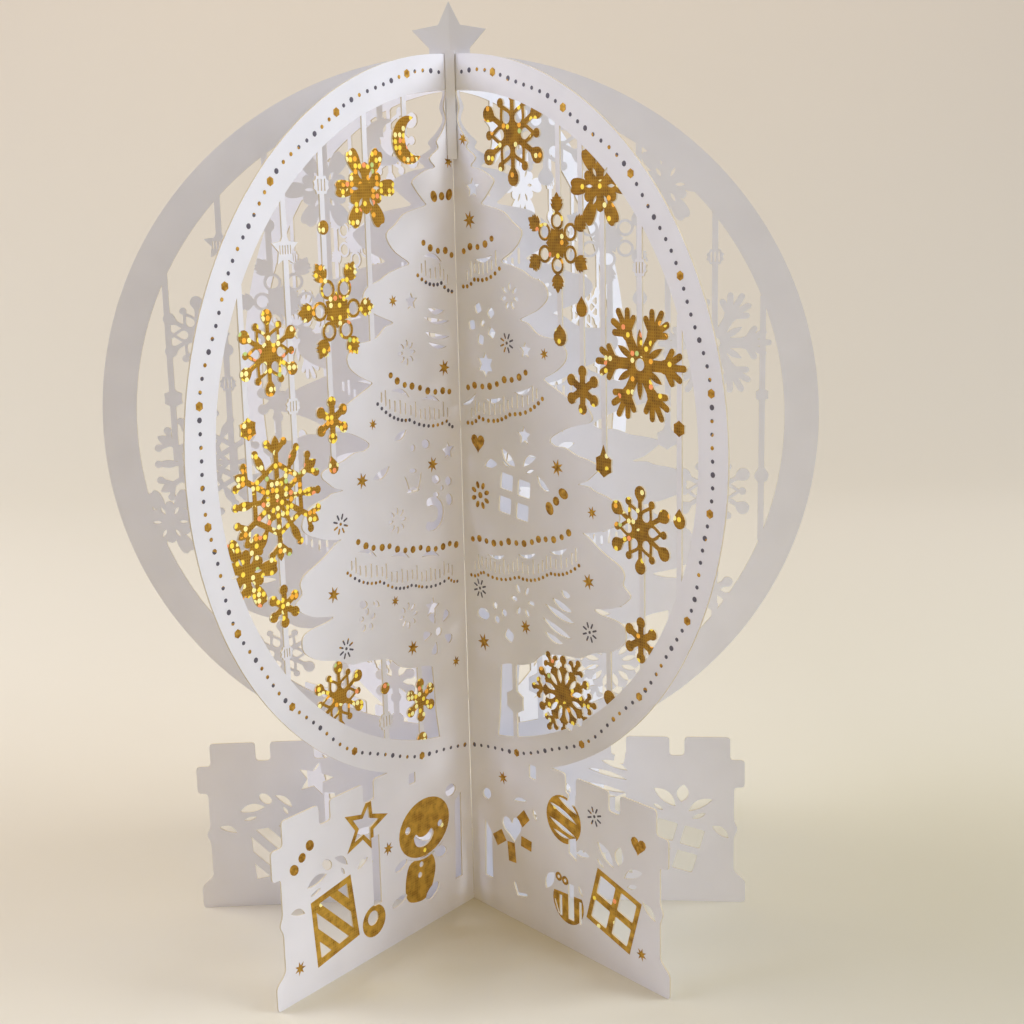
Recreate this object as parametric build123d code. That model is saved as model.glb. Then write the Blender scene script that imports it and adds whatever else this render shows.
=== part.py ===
"""Pop up card: three die-cut sheets of card, each folded down the middle, that meet at the spine.

Every leaf is drawn flat, in its own plane: u runs outwards from the spine and z runs up from the foot.
Places inside the ring are shares of the ring's inner radius, from the ring's centre, and so are the sizes
of the snowflakes and beads. Places in the base are shares of the wall's reach and of the merlons' height.
"""
import os
from math import cos, radians, sin, sqrt, tan

from build123d import *

# Card, and the fit between two sheets
card_thickness = 0.4
seat_clearance = 0.05

# How far each leaf is swung from the left-right line, in degrees: the rear leaves backward, the others forward
front_left_turn = 52.0
front_right_turn = 49.5
middle_left_turn = 2.5
middle_right_turn = 5.5
rear_left_turn = 43.5
rear_right_turn = 57.5

# Battlement base
wall_reach = 62.2
foot_overhang = 2.8
foot_height = 5.5
foot_slope = 2.5
buttress_bottom = 29.0
buttress_height = 6.8
buttress_overhang = 2.4
merlon_height = 5.6
merlon_inset = 1.0
notch_depth = 4.6
notch_width = 3.5
notch_places = (0.785, 0.566)
merlon_top = buttress_bottom + buttress_height + merlon_height

# Ring, which dips into the base
ring_radius = 80.0
ring_width = 7.5
ring_dip = 5.4
ring_inner = ring_radius - ring_width
ring_centre = merlon_top - ring_dip + ring_radius
ring_top = ring_centre + ring_radius

# Spine: long slits, with short bridges of card left at these shares of the ring's top. A leaf is drawn
# a little past the fold, and the mitre trims it there
slit_width = 0.7
bridge_length = 1.2
bridge_places = (0.003, 0.095, 0.26, 0.43, 0.59, 0.753)
fold_allowance = 0.7

# Star and tongue at the top of the middle sheet, measured from the ring's top
star_tip_rise = 11.0
star_crotch_rise = 6.1
star_crotch_reach = 2.4
star_arm_rise = 5.1
star_arm_reach = 8.0
star_neck_rise = 1.3
star_neck_reach = 4.4
tongue_width = 2.0
tongue_length = 22.0
tongue_lift = 0.3
tongue_gap = 0.3

# Tree: tips of its tiers from the top down, the hollow between them, the skirt and the trunk
tree_top_reach = 0.03
tier_tips = (
    (0.090, 0.828), (0.172, 0.697), (0.290, 0.566), (0.407, 0.407), (0.483, 0.228),
    (0.559, 0.041), (0.607, -0.090), (0.703, -0.228), (0.745, -0.393), (0.731, -0.566),
)
tier_undercut = 0.72
tier_drop = 0.05
skirt = ((0.593, -0.628), (0.414, -0.683), (0.276, -0.731))
trunk_reach = 0.143
trunk_top = -0.766

# Garlands round the tree: places of the swags
swag_length = 6.5
swag_tilt = 13.0
swag_places = (
    (0.138, 0.510), (0.166, 0.094), (0.303, 0.131), (0.159, -0.397), (0.303, -0.370), (0.441, -0.334),
)

# Cut-outs in the tree
tree_star_radius = 2.5
tree_gift_size = 10.2
tree_gift_bar = 1.6
tree_gift_tilt = -6.0
ball_width = 8.7
ball_height = 10.2
ball_pitch = 2.9
ball_stripe = 1.45
ball_tilt = -15.0

# Cut-outs in the base
striped_gift_width = 8.8
striped_gift_height = 12.4
striped_gift_tilt = -9.0
gift_stripe = 2.6
gift_stripe_pitch = 4.1
gift_stripe_tilt = 52.0
paned_gift_width = 11.4
paned_gift_height = 11.0
paned_gift_tilt = -17.0
paned_gift_bar = 1.6
base_bow_size = 5.4
base_star_radius = 4.35
base_star_tilt = 75.0
hoop_bore = 3.4
eye_width = 1.8
smile_width = 6.6
smile_depth = 2.8
limb_length = 4.6
limb_width = 2.1
bauble_width = 8.3
bauble_height = 7.0
bauble_pitch = 2.5
bauble_stripe = 1.35
bauble_tilt = -20.0
heart_size = 3.7
heart_tilt = 15.0

# Threads, and the beads along them
thread_width = 1.2
bead_size = 0.0235

# Arms of the snowflakes: the valley between two arms, then stations up one arm, as shares of the
# motif's radius (distance from the centre, half width)
flared_arm = (0.24, ((1.0, 0.15),))
pointed_arm = (0.30, ((0.70, 0.17), (1.0, 0.0)))
spear_arm = (0.20, ((0.66, 0.17), (1.0, 0.0)))
branched_arm = (0.18, ((0.72, 0.25), (0.98, 0.06)))
petal_arm = (0.42, ((1.0, 0.0),))


def polygon(*points):
    return Polygon(*points, align=None)


def bar(u_low, z_low, u_high, z_high):
    return Pos((u_low + u_high) / 2, (z_low + z_high) / 2) * Rectangle(u_high - u_low, z_high - z_low)


def polar(u, z, distance, angle):
    return (u + distance * cos(radians(angle)), z + distance * sin(radians(angle)))


def in_ring(across, up):
    """Point of the leaf from its shares of the ring's inner radius."""
    return (across * ring_inner, ring_centre + up * ring_inner)


def in_base(across, up):
    """Point of the leaf from its shares of the base's reach and height."""
    return (across * wall_reach, up * merlon_top)


def ring_edge(u, above):
    """Height of the ring's inner edge over or under the ring's centre."""
    rise = sqrt(ring_inner ** 2 - u ** 2)
    return ring_centre + rise if above else ring_centre - rise


def rays(u, z, radius, arm, first_angle=90, arms=6):
    """Motif with equal arms, each given by a valley and stations up the arm."""
    valley, stations = arm
    step = 360 / arms
    up = [(share, -half) for share, half in stations]
    down = [(share, half) for share, half in reversed(stations) if half > 0]
    points = []
    for index in range(arms):
        angle = first_angle + index * step
        points.append(polar(u, z, valley * radius, angle - step / 2))
        for share, side in up + down:
            middle = polar(u, z, share * radius, angle)
            points.append(polar(*middle, side * radius, angle + 90))
    return polygon(*points)


def flake(across, up, size, arm, first_angle=90):
    return rays(*in_ring(across, up), size * ring_inner, arm, first_angle)


def five_star(u, z, radius, inner_share, first_angle=90):
    return rays(u, z, radius, (inner_share, ((1.0, 0.0),)), first_angle, 5)


def bead(across, up, size=bead_size):
    return Pos(*in_ring(across, up)) * RegularPolygon(size * ring_inner, 5, rotation=90)


def pendant(across, up, size=bead_size):
    """Small drop: a point above a blunt body."""
    radius = size * ring_inner
    body = polygon((0, 1.9 * radius), (-radius, 0.2 * radius), (-0.5 * radius, -radius),
                   (0.5 * radius, -radius), (radius, 0.2 * radius))
    return Pos(*in_ring(across, up)) * body


def thread(across, low, high):
    """Upright thread between two heights, by shares of the ring or by the ring's own edge."""
    u = across * ring_inner
    z_low = ring_edge(u, False) - thread_width if low == "ring" else in_ring(across, low)[1]
    z_high = ring_edge(u, True) + thread_width if high == "ring" else in_ring(across, high)[1]
    return bar(u - thread_width / 2, z_low, u + thread_width / 2, z_high)


def slip(u, z, length, width, angle):
    """Pointed cut with its widest place past the middle, lying at an angle."""
    kite = polygon((-length / 2, 0), (length * 0.15, -width / 2), (length / 2, 0), (length * 0.15, width / 2))
    return Pos(u, z) * Rot(0, 0, angle) * kite


def bow_cuts(u, z, size):
    """Loops of a bow, cut as slips that fan out above its knot."""
    cuts = []
    for angle, reach in ((20, 1.0), (62, 0.85), (118, 0.85), (160, 1.0)):
        cuts.append(slip(*polar(u, z, reach * size, angle), 1.2 * size, 0.4 * size, angle))
    return cuts


def crescent(u, z, radius, opening):
    """Moon whose horns stand either side of the angle that it opens towards."""
    outer = [polar(u, z, radius, opening + turn) for turn in range(50, 311, 52)]
    hollow = polar(u, z, 0.4 * radius, opening)
    inner = [polar(*hollow, 0.72 * radius, opening + turn) for turn in (255, 180, 105)]
    return polygon(*outer, *inner)


def turned(u, z, angle, shapes):
    return [Pos(u, z) * Rot(0, 0, angle) * shape for shape in shapes]


def pane_cuts(width, height, middle):
    """Four panes of a gift, left by a cross of ribbon."""
    pane_width = (width - middle) / 2
    pane_height = (height - middle) / 2
    places = [(side * (pane_width + middle) / 2, end * (pane_height + middle) / 2)
              for side in (-1, 1) for end in (-1, 1)]
    return [Pos(*place) * Rectangle(pane_width, pane_height) for place in places]


def stripe_cuts(width, height, angle, pitch, stripe):
    """Slanting stripes, trimmed to the field that they lie in."""
    field = Rectangle(width, height)
    length = sqrt(width ** 2 + height ** 2)
    span = height * cos(radians(angle)) + width * sin(radians(angle))
    count = int(span / pitch + 0.5)
    offsets = [(index - (count - 1) / 2) * pitch for index in range(count)]
    return [field & (Rot(0, 0, angle) * Pos(0, offset) * Rectangle(length, stripe)) for offset in offsets]


def heart(size):
    half = polygon((0, -0.95 * size), (0.85 * size, 0.1 * size), (0.5 * size, 0.75 * size), (0, 0.4 * size))
    return half + mirror(half, Plane.YZ)


def smile():
    half = smile_width / 2
    return polygon((-half, 0), (-half * 0.6, -smile_depth * 0.75), (0, -smile_depth),
                   (half * 0.6, -smile_depth * 0.75), (half, 0), (0, -smile_depth * 0.25))


def garlands():
    """Swags that hang across the tree."""
    half = swag_length / 2
    swag = polygon((-half, 0), (0, -half * 0.55), (half, 0))
    cuts = []
    for place in swag_places:
        cuts += turned(*in_ring(*place), swag_tilt, [swag])
    return cuts


def ring():
    return Pos(0, ring_centre) * (Circle(ring_radius) - Circle(ring_inner))


def base():
    """Battlement wall with a foot, a buttress and notches between its merlons."""
    foot_reach = wall_reach + foot_overhang
    buttress_reach = wall_reach + buttress_overhang
    buttress_top = buttress_bottom + buttress_height
    merlon_reach = wall_reach - merlon_inset
    wall = polygon(
        (-fold_allowance, 0), (foot_reach, 0), (foot_reach, foot_height),
        (wall_reach, foot_height + foot_slope), (wall_reach, buttress_bottom),
        (buttress_reach, buttress_bottom), (buttress_reach, buttress_top),
        (merlon_reach, buttress_top), (merlon_reach, merlon_top), (-fold_allowance, merlon_top),
    )
    for place in notch_places:
        middle = place * wall_reach
        wall -= bar(middle - notch_width / 2, merlon_top - notch_depth, middle + notch_width / 2, merlon_top)
    return wall


def tree():
    """Half a fir: undercut tiers above a sloping skirt, and a trunk that stands on the ring."""
    top = (tree_top_reach * ring_inner, ring_top - ring_width / 2)
    trunk_foot = ring_centre - ring_inner - ring_width / 2
    points = [(-fold_allowance, top[1]), top]
    for tip in [in_ring(*shares) for shares in tier_tips]:
        points += [tip, (tip[0] * tier_undercut, tip[1] - tier_drop * ring_inner)]
    points.pop()
    points += [in_ring(*shares) for shares in skirt]
    points += [in_ring(trunk_reach, trunk_top), (trunk_reach * ring_inner, trunk_foot)]
    return polygon((-fold_allowance, trunk_foot), *reversed(points))


def half_star():
    neck_bottom = ring_top - ring_width / 2
    return polygon(
        (-fold_allowance, neck_bottom), (star_neck_reach, neck_bottom),
        (star_neck_reach, ring_top + star_neck_rise), (star_arm_reach, ring_top + star_arm_rise),
        (star_crotch_reach, ring_top + star_crotch_rise), (0, ring_top + star_tip_rise),
        (-fold_allowance, ring_top + star_tip_rise),
    )


def spine_slits():
    """Slits between the bridges, from the foot up to where the tongue ends."""
    heights = [place * ring_top for place in bridge_places]
    lows = [height + bridge_length / 2 for height in heights]
    highs = [height - bridge_length / 2 for height in heights[1:]] + [ring_top - tongue_length]
    return [bar(-fold_allowance, low, slit_width / 2, high) for low, high in zip(lows, highs)]


def left_flakes():
    """Moon and large snowflakes on their threads, in the left half of the ring."""
    return [
        crescent(*in_ring(0.205, 0.876), 0.068 * ring_inner, 200),
        flake(0.386, 0.717, 0.117, flared_arm),
        flake(0.517, 0.386, 0.145, spear_arm, 0),
        flake(0.793, 0.290, 0.105, pointed_arm),
        flake(0.786, -0.110, 0.166, branched_arm),
        flake(0.910, -0.290, 0.110, pointed_arm),
        flake(0.579, -0.745, 0.104, flared_arm),
        thread(0.235, 0.876, "ring"),
        thread(0.386, 0.717, "ring"),
        thread(0.566, -0.055, "ring"),
        thread(0.710, -0.066, "ring"),
        thread(0.883, -0.054, "ring"),
        thread(0.786, "ring", -0.110),
        thread(0.393, "ring", -0.680),
        thread(0.234, "ring", -0.730),
    ]


def left_beads():
    """Star, small snowflakes, beads and pendant along the threads of the left half."""
    return [
        flake(0.566, 0.083, 0.064, petal_arm),
        flake(0.786, -0.414, 0.058, petal_arm),
        flake(0.234, -0.841, 0.066, petal_arm),
        five_star(*in_ring(0.710, 0.566), 0.045 * ring_inner, 0.45),
        bead(0.566, 0.731),
        bead(0.566, 0.621),
        pendant(0.566, -0.055),
        bead(0.710, 0.152),
        bead(0.883, 0.097, 0.029),
        bead(0.786, -0.552),
        bead(0.393, -0.759),
        bead(0.393, -0.855),
    ]


def right_flakes():
    """Large snowflakes on their threads, in the right half of the ring."""
    return [
        flake(0.276, 0.869, 0.124, flared_arm),
        flake(0.634, 0.717, 0.110, pointed_arm),
        flake(0.469, 0.566, 0.117, spear_arm),
        flake(0.786, 0.241, 0.161, branched_arm, 0),
        flake(0.793, -0.221, 0.117, flared_arm),
        flake(0.455, -0.786, 0.128, pointed_arm),
        thread(0.469, 0.303, "ring"),
        thread(0.559, 0.152, "ring"),
        thread(0.641, -0.055, 0.717),
        thread(0.786, 0.241, "ring"),
        thread(0.931, "ring", "ring"),
        thread(0.793, "ring", -0.221),
        thread(0.655, "ring", -0.600),
        thread(0.234, "ring", -0.730),
    ]


def right_beads():
    """Small snowflakes, beads and pendants along the threads of the right half."""
    return [
        flake(0.559, 0.152, 0.069, petal_arm),
        flake(0.793, -0.538, 0.063, petal_arm),
        pendant(0.276, 0.730),
        pendant(0.469, 0.303, 0.028),
        pendant(0.559, 0.379),
        pendant(0.641, -0.055, 0.036),
        bead(0.786, 0.497),
        bead(0.931, 0.083),
        bead(0.931, -0.172, 0.026),
        bead(0.655, -0.745),
        bead(0.234, -0.855, 0.039),
    ]


def left_gift():
    """Striped gift in the base."""
    stripes = stripe_cuts(striped_gift_width, striped_gift_height, gift_stripe_tilt,
                          gift_stripe_pitch, gift_stripe)
    return turned(*in_base(0.759, 0.331), striped_gift_tilt, stripes)


def right_gifts():
    """Paned gifts in the base and in the tree."""
    base_panes = pane_cuts(paned_gift_width, paned_gift_height, paned_gift_bar)
    tree_panes = pane_cuts(tree_gift_size, tree_gift_size, tree_gift_bar)
    return [
        *turned(*in_base(0.770, 0.338), paned_gift_tilt, base_panes),
        *turned(*in_ring(0.255, -0.172), tree_gift_tilt, tree_panes),
    ]


def left_cuts():
    """Smaller cut-outs of the left half: bow, star, hoop and biscuit figure below, star and swags above."""
    eyes = ((0.365, 0.617), (0.191, 0.580))
    limbs = ((0.420, 0.440, 155), (0.190, 0.400, 25), (0.420, 0.235, 190), (0.205, 0.190, -35))
    return [
        *bow_cuts(*in_base(0.772, 0.545), base_bow_size),
        five_star(*in_base(0.587, 0.768), base_star_radius, 0.45, base_star_tilt),
        bar(*in_base(0.520, 0.285), *in_base(0.563, 0.640)),
        Pos(*in_base(0.566, 0.208)) * RegularPolygon(hoop_bore / 2, 8),
        *[Pos(*in_base(*place)) * RegularPolygon(eye_width / 2, 4) for place in eyes],
        Pos(*in_base(0.278, 0.545)) * smile(),
        *[slip(*in_base(across, up), limb_length, limb_width, angle) for across, up, angle in limbs],
        polygon(in_base(0.064, 0.19), in_base(0.108, 0.19), in_base(0.108, 0.63), in_base(0.064, 0.69)),
        five_star(*in_ring(0.221, 0.386), tree_star_radius, 0.45),
        *garlands(),
    ]


def right_cuts():
    """Smaller cut-outs of the right half: bow, bauble and heart below, ball, star and swags above."""
    bauble = stripe_cuts(bauble_width, bauble_height, 0, bauble_pitch, bauble_stripe)
    ball = stripe_cuts(ball_width, ball_height, 0, ball_pitch, ball_stripe)
    return [
        *bow_cuts(*in_base(0.783, 0.560), base_bow_size),
        *turned(*in_base(0.526, 0.734), bauble_tilt, bauble),
        *turned(*in_base(0.241, 0.545), heart_tilt, [heart(heart_size)]),
        polygon(in_base(0.080, 0.19), in_base(0.123, 0.19), in_base(0.123, 0.47), in_base(0.080, 0.54)),
        *turned(*in_ring(0.441, -0.545), ball_tilt, ball),
        five_star(*in_ring(0.131, 0.190), tree_star_radius, 0.5),
        *garlands(),
    ]


def half_pattern(motifs, cuts):
    """Flat cut card of one leaf."""
    card = ring() + base() + tree() + motifs
    card &= bar(-fold_allowance, 0, ring_radius, ring_top)
    return card - (cuts + spine_slits())


def leaf_plane(azimuth, spine_y):
    """Plane of a leaf: its first axis runs out from the spine and its second runs up."""
    along = Vector(cos(radians(azimuth)), sin(radians(azimuth)), 0)
    return Plane(origin=(0, spine_y, 0), x_dir=along, z_dir=along.cross(Vector(0, 0, 1)))


def folded_sheet(left_half, right_half, left_turn, right_turn, spine_y):
    """Two leaves of card, mitred against each other along the fold."""
    mitre_angle = (right_turn - left_turn) / 2
    mitre_side = Vector(cos(radians(mitre_angle)), -sin(radians(mitre_angle)), 0)
    leaves = []
    for half, azimuth, side in ((left_half, 180 + left_turn, -1), (right_half, -right_turn, 1)):
        leaf = extrude(leaf_plane(azimuth, spine_y) * half, card_thickness / 2, both=True)
        mitre = Plane(origin=(0, spine_y, 0), z_dir=mitre_side * side)
        leaves.append(split(leaf, bisect_by=mitre, keep=Keep.TOP))
    return leaves[0] + leaves[1]


def fold_depth(left_turn, right_turn):
    """Distance from the fold's middle line to the card's face at the fold."""
    return card_thickness / 2 / sin(radians((180 - left_turn - right_turn) / 2))


def tongue(front_face_y):
    """Strip bent forward from the star's neck, and down in front of the front sheet's fold."""
    steepest = max(front_left_turn, front_right_turn)
    rear = front_face_y - tongue_width / 2 * tan(radians(steepest)) - seat_clearance
    middle = rear - card_thickness / 2
    bend = ring_top + tongue_lift + card_thickness / 2
    path = Polyline((0, bend), (middle, bend), (middle, ring_top - tongue_length))
    section = Plane.YZ * trace(path, card_thickness)
    return extrude(section, tongue_width / 2, both=True)


# Flat patterns of the two halves: in full for the front sheet, plainer for the sheets behind it
left_half = half_pattern(left_flakes() + left_beads(), left_gift() + left_cuts())
right_half = half_pattern(right_flakes() + right_beads(), right_gifts() + right_cuts())
plain_left = half_pattern(left_flakes(), left_gift())
plain_right = half_pattern(right_flakes(), right_gifts())

# Front sheet, whose fold sits in the fold of the middle sheet
middle_depth = fold_depth(middle_left_turn, middle_right_turn)
front_depth = fold_depth(front_left_turn, front_right_turn)
front_spine = -middle_depth - seat_clearance - front_depth
front_sheet = folded_sheet(left_half, right_half, front_left_turn, front_right_turn, front_spine)

# Middle sheet: the plainer pattern with the star, and with the tongue cut free from its spine
slot_half = tongue_width / 2 + tongue_gap
tongue_slot = bar(-fold_allowance, ring_top - tongue_length - tongue_gap, slot_half, ring_top)
middle_left, middle_right = [half + half_star() - tongue_slot for half in (plain_left, plain_right)]
middle_sheet = folded_sheet(middle_left, middle_right, middle_left_turn, middle_right_turn, 0)
middle_sheet += tongue(front_spine - front_depth)

# Rear sheet: a front sheet that is turned half round, so its left half stands on the right
rear_spine = -middle_depth - seat_clearance - fold_depth(rear_left_turn, rear_right_turn)
rear_sheet = Rot(0, 0, 180) * folded_sheet(plain_left, plain_right, rear_right_turn, rear_left_turn, rear_spine)

os.makedirs("parts", exist_ok=True)
export_step(front_sheet, "parts/front_sheet.step")
export_step(middle_sheet, "parts/middle_sheet.step")
export_step(rear_sheet, "parts/rear_sheet.step")
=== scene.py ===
from math import atan2, cos, degrees, pi, radians, sin, sqrt, tan

import bmesh
import bpy
from mathutils import Matrix, Vector
from mathutils.geometry import delaunay_2d_cdt


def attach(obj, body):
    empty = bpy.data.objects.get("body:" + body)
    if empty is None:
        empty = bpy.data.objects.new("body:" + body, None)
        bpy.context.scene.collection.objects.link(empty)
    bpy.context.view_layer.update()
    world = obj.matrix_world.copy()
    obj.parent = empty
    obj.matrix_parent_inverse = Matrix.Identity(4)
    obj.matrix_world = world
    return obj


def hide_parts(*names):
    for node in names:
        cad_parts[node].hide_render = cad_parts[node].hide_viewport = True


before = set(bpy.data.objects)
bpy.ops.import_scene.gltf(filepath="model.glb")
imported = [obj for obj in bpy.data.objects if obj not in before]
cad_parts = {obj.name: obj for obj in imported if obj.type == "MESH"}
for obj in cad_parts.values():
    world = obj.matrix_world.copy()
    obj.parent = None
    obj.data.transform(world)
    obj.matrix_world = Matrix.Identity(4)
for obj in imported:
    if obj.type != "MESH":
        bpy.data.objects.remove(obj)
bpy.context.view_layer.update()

# Card, and how far each leaf is swung in degrees: the rear leaves backward, the others forward
card_thickness = 0.4
foil_thickness = 0.04
foil_lift = 0.006
seat_clearance = 0.05
front_left_turn, front_right_turn = 52.0, 49.5
middle_left_turn, middle_right_turn = 2.5, 5.5
rear_left_turn, rear_right_turn = 43.5, 57.5

# Battlement base
wall_reach = 62.2
foot_reach, foot_height, foot_slope = 65.0, 5.5, 2.5
buttress_reach, buttress_bottom, buttress_top = 64.6, 29.0, 35.8
merlon_reach, merlon_top = 61.2, 41.4
notch_middles, notch_width, notch_depth = (48.83, 35.2), 3.5, 4.6

# Ring and spine
ring_radius, ring_inner = 80.0, 72.5
ring_centre = 116.0
ring_top = ring_centre + ring_radius
ring_middle = (ring_radius + ring_inner) / 2
slit_width, bridge_length = 0.7, 1.2
bridge_places = (0.6, 18.6, 51.0, 84.3, 115.6, 147.6)

# Star and tongue on top of the middle sheet
star_tip, star_crotch, star_arm = (0, 207.0), (2.4, 202.1), (8.0, 201.1)
star_neck = (4.4, 197.3)
tongue_width, tongue_length, tongue_gap = 2.0, 22.0, 0.3

# Tree: its wavy edge from the top down, tier by tier, then the skirt
tree_top = 192.2
tiers = (
    ((2.2, 189.0), (1.9, 187.6), (2.7, 185.0), (2.0, 182.4), (3.6, 179.6), (5.4, 177.7)),
    ((4.9, 176.3), (7.9, 174.2), (6.2, 172.4)),
    ((9.6, 171.6), (13.6, 169.6), (13.0, 168.0), (10.6, 165.6), (9.6, 164.4)),
    ((13.4, 163.6), (17.0, 162.6), (19.6, 160.6), (22.4, 158.8), (21.6, 156.6), (19.4, 154.6), (15.6, 152.4)),
    ((18.6, 151.6), (22.4, 150.6), (25.4, 149.2), (28.4, 148.4), (30.2, 146.6), (29.8, 144.6), (27.2, 142.6),
     (24.2, 141.4), (21.4, 140.2)),
    ((24.0, 139.5), (26.4, 137.7), (29.0, 137.0), (33.0, 136.6), (35.6, 134.6), (35.3, 132.3), (32.7, 130.2),
     (30.2, 129.0), (28.6, 128.0)),
    ((32.4, 126.3), (36.0, 124.8), (37.4, 123.7), (39.8, 124.3), (42.0, 123.1), (43.3, 121.2), (42.0, 120.1),
     (38.4, 119.2), (35.4, 118.3), (31.8, 116.6), (30.2, 115.3)),
    ((31.8, 114.2), (34.8, 114.2), (38.4, 113.0), (42.0, 112.4), (44.4, 111.7), (44.6, 110.5), (43.2, 109.3),
     (41.3, 107.9), (38.8, 106.9)),
    ((42.0, 106.8), (43.8, 106.1), (47.4, 105.4), (49.4, 104.4), (51.0, 101.6), (49.6, 99.6), (45.6, 97.9),
     (42.0, 97.0), (40.0, 96.7)),
    ((41.6, 96.1), (44.4, 94.4), (47.4, 92.9), (51.0, 91.4), (52.3, 89.6), (51.9, 87.6), (54.0, 85.7),
     (52.8, 84.2), (51.0, 83.0), (48.0, 81.8), (43.4, 80.8)),
    ((45.6, 80.0), (49.2, 79.7), (51.8, 79.0), (52.6, 77.5), (52.2, 75.3), (49.8, 73.4), (46.8, 72.1),
     (43.2, 71.2)),
    ((40.8, 70.1), (38.4, 69.0), (34.0, 68.6), (28.4, 67.6), (25.8, 66.6), (23.4, 64.6), (19.6, 63.2),
     (15.5, 62.6), (12.5, 61.6), (10.6, 59.4)),
)
trunk_reach, trunk_foot = 10.4, 42.0

thread_width = 1.3
dot_pitch = 2.6


# Outlines, each a closed list of points
def polar(u, z, distance, angle):
    return (u + distance * cos(radians(angle)), z + distance * sin(radians(angle)))


def turned(points, u, z, tilt):
    c, s = cos(radians(tilt)), sin(radians(tilt))
    return [(u + x * c - y * s, z + x * s + y * c) for x, y in points]


def disc(u, z, radius, corners=14):
    return [polar(u, z, radius, 360 * i / corners) for i in range(corners)]


def oval(u, z, long_radius, short_radius, tilt=0, corners=14):
    angles = [2 * pi * i / corners for i in range(corners)]
    return turned([(long_radius * cos(a), short_radius * sin(a)) for a in angles], u, z, tilt)


def bar(u_low, z_low, u_high, z_high):
    return [(u_low, z_low), (u_high, z_low), (u_high, z_high), (u_low, z_high)]


def rounded(points, radius, steps=3):
    """Closed outline with each corner eased into a short curve."""
    eased = []
    for i, corner in enumerate(points):
        ends = []
        for other in (points[i - 1], points[(i + 1) % len(points)]):
            du, dz = other[0] - corner[0], other[1] - corner[1]
            length = sqrt(du * du + dz * dz)
            share = min(radius / length, 0.45)
            ends.append((corner[0] + du * share, corner[1] + dz * share))
        for k in range(steps + 1):
            t = k / steps
            weights = ((1 - t) ** 2, 2 * t * (1 - t), t * t)
            eased.append(tuple(sum(w * p[axis] for w, p in zip(weights, (ends[0], corner, ends[1])))
                               for axis in (0, 1)))
    return eased


def panel(u, z, width, height, tilt=0, corner=0.0):
    points = turned(bar(-width / 2, -height / 2, width / 2, height / 2), u, z, tilt)
    return rounded(points, corner) if corner else points


def smooth(points, steps=4):
    """Closed curve through the points."""
    curve = []
    count = len(points)
    for i in range(count):
        a, b, c, d = (points[(i + k) % count] for k in (-1, 0, 1, 2))
        for k in range(steps):
            t = k / steps
            curve.append(tuple(
                0.5 * (2 * b[x] + (c[x] - a[x]) * t + (2 * a[x] - 5 * b[x] + 4 * c[x] - d[x]) * t * t
                       + (3 * b[x] - a[x] - 3 * c[x] + d[x]) * t ** 3) for x in (0, 1)))
    return curve


def rod(start, end, width, steps=4):
    """Strip with round ends."""
    angle = atan2(end[1] - start[1], end[0] - start[0])
    points = []
    for (u, z), first in ((end, angle - pi / 2), (start, angle + pi / 2)):
        for k in range(steps + 1):
            a = first + pi * k / steps
            points.append((u + width / 2 * cos(a), z + width / 2 * sin(a)))
    return points


def blade(u, z, length, width, tilt=0, bend=0.0, steps=8):
    """Leaf-shaped outline, pointed at both ends, with its middle line bent."""
    low, high = [], []
    for k in range(steps + 1):
        t = k / steps
        x = (t - 0.5) * length
        middle = bend * 4 * t * (1 - t)
        half = width / 2 * sin(pi * t) ** 0.85
        low.append((x, middle - half))
        high.append((x, middle + half))
    return turned(low + high[-2:0:-1], u, z, tilt)


def drop(u, z, radius, tip, tilt=90, steps=9):
    """Round bead drawn out to a point."""
    points = [polar(u, z, tip, tilt)]
    return points + [polar(u, z, radius, tilt + 48 + (360 - 96) * k / steps) for k in range(steps + 1)]


def star(u, z, radius, inner, points=5, first=90):
    return [polar(u, z, radius if k % 2 == 0 else radius * inner, first + 180 * k / points)
            for k in range(2 * points)]


def heart(u, z, size, tilt=0, steps=20):
    points = []
    for k in range(steps):
        a = 2 * pi * k / steps
        x = 16 * sin(a) ** 3
        y = 13 * cos(a) - 5 * cos(2 * a) - 2 * cos(3 * a) - cos(4 * a)
        points.append((-x * size / 16, y * size / 16))
    return turned(points, u, z, tilt)


def arc_band(u, z, radius, width, first, last, steps=14):
    """Hooked strip that follows an arc, with round ends."""
    angles = [first + (last - first) * k / steps for k in range(steps + 1)]
    outer = [polar(u, z, radius + width / 2, a) for a in angles]
    inner = [polar(u, z, radius - width / 2, a) for a in angles]
    tips = []
    for a, turn in ((last, 1), (first, -1)):
        middle = polar(u, z, radius, a)
        start = a if turn > 0 else a + 180
        tips.append([polar(*middle, width / 2, start + 45 * k) for k in (1, 2, 3)])
    return outer + tips[0] + inner[::-1] + tips[1]


def clipped(points, base, normal):
    """Part of a convex outline on the side of a line that the normal points to."""
    kept = []
    for i, b in enumerate(points):
        a = points[i - 1]
        da = (a[0] - base[0]) * normal[0] + (a[1] - base[1]) * normal[1]
        db = (b[0] - base[0]) * normal[0] + (b[1] - base[1]) * normal[1]
        if da * db < 0:
            t = da / (da - db)
            kept.append((a[0] + (b[0] - a[0]) * t, a[1] + (b[1] - a[1]) * t))
        if db >= 0:
            kept.append(b)
    return kept


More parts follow.
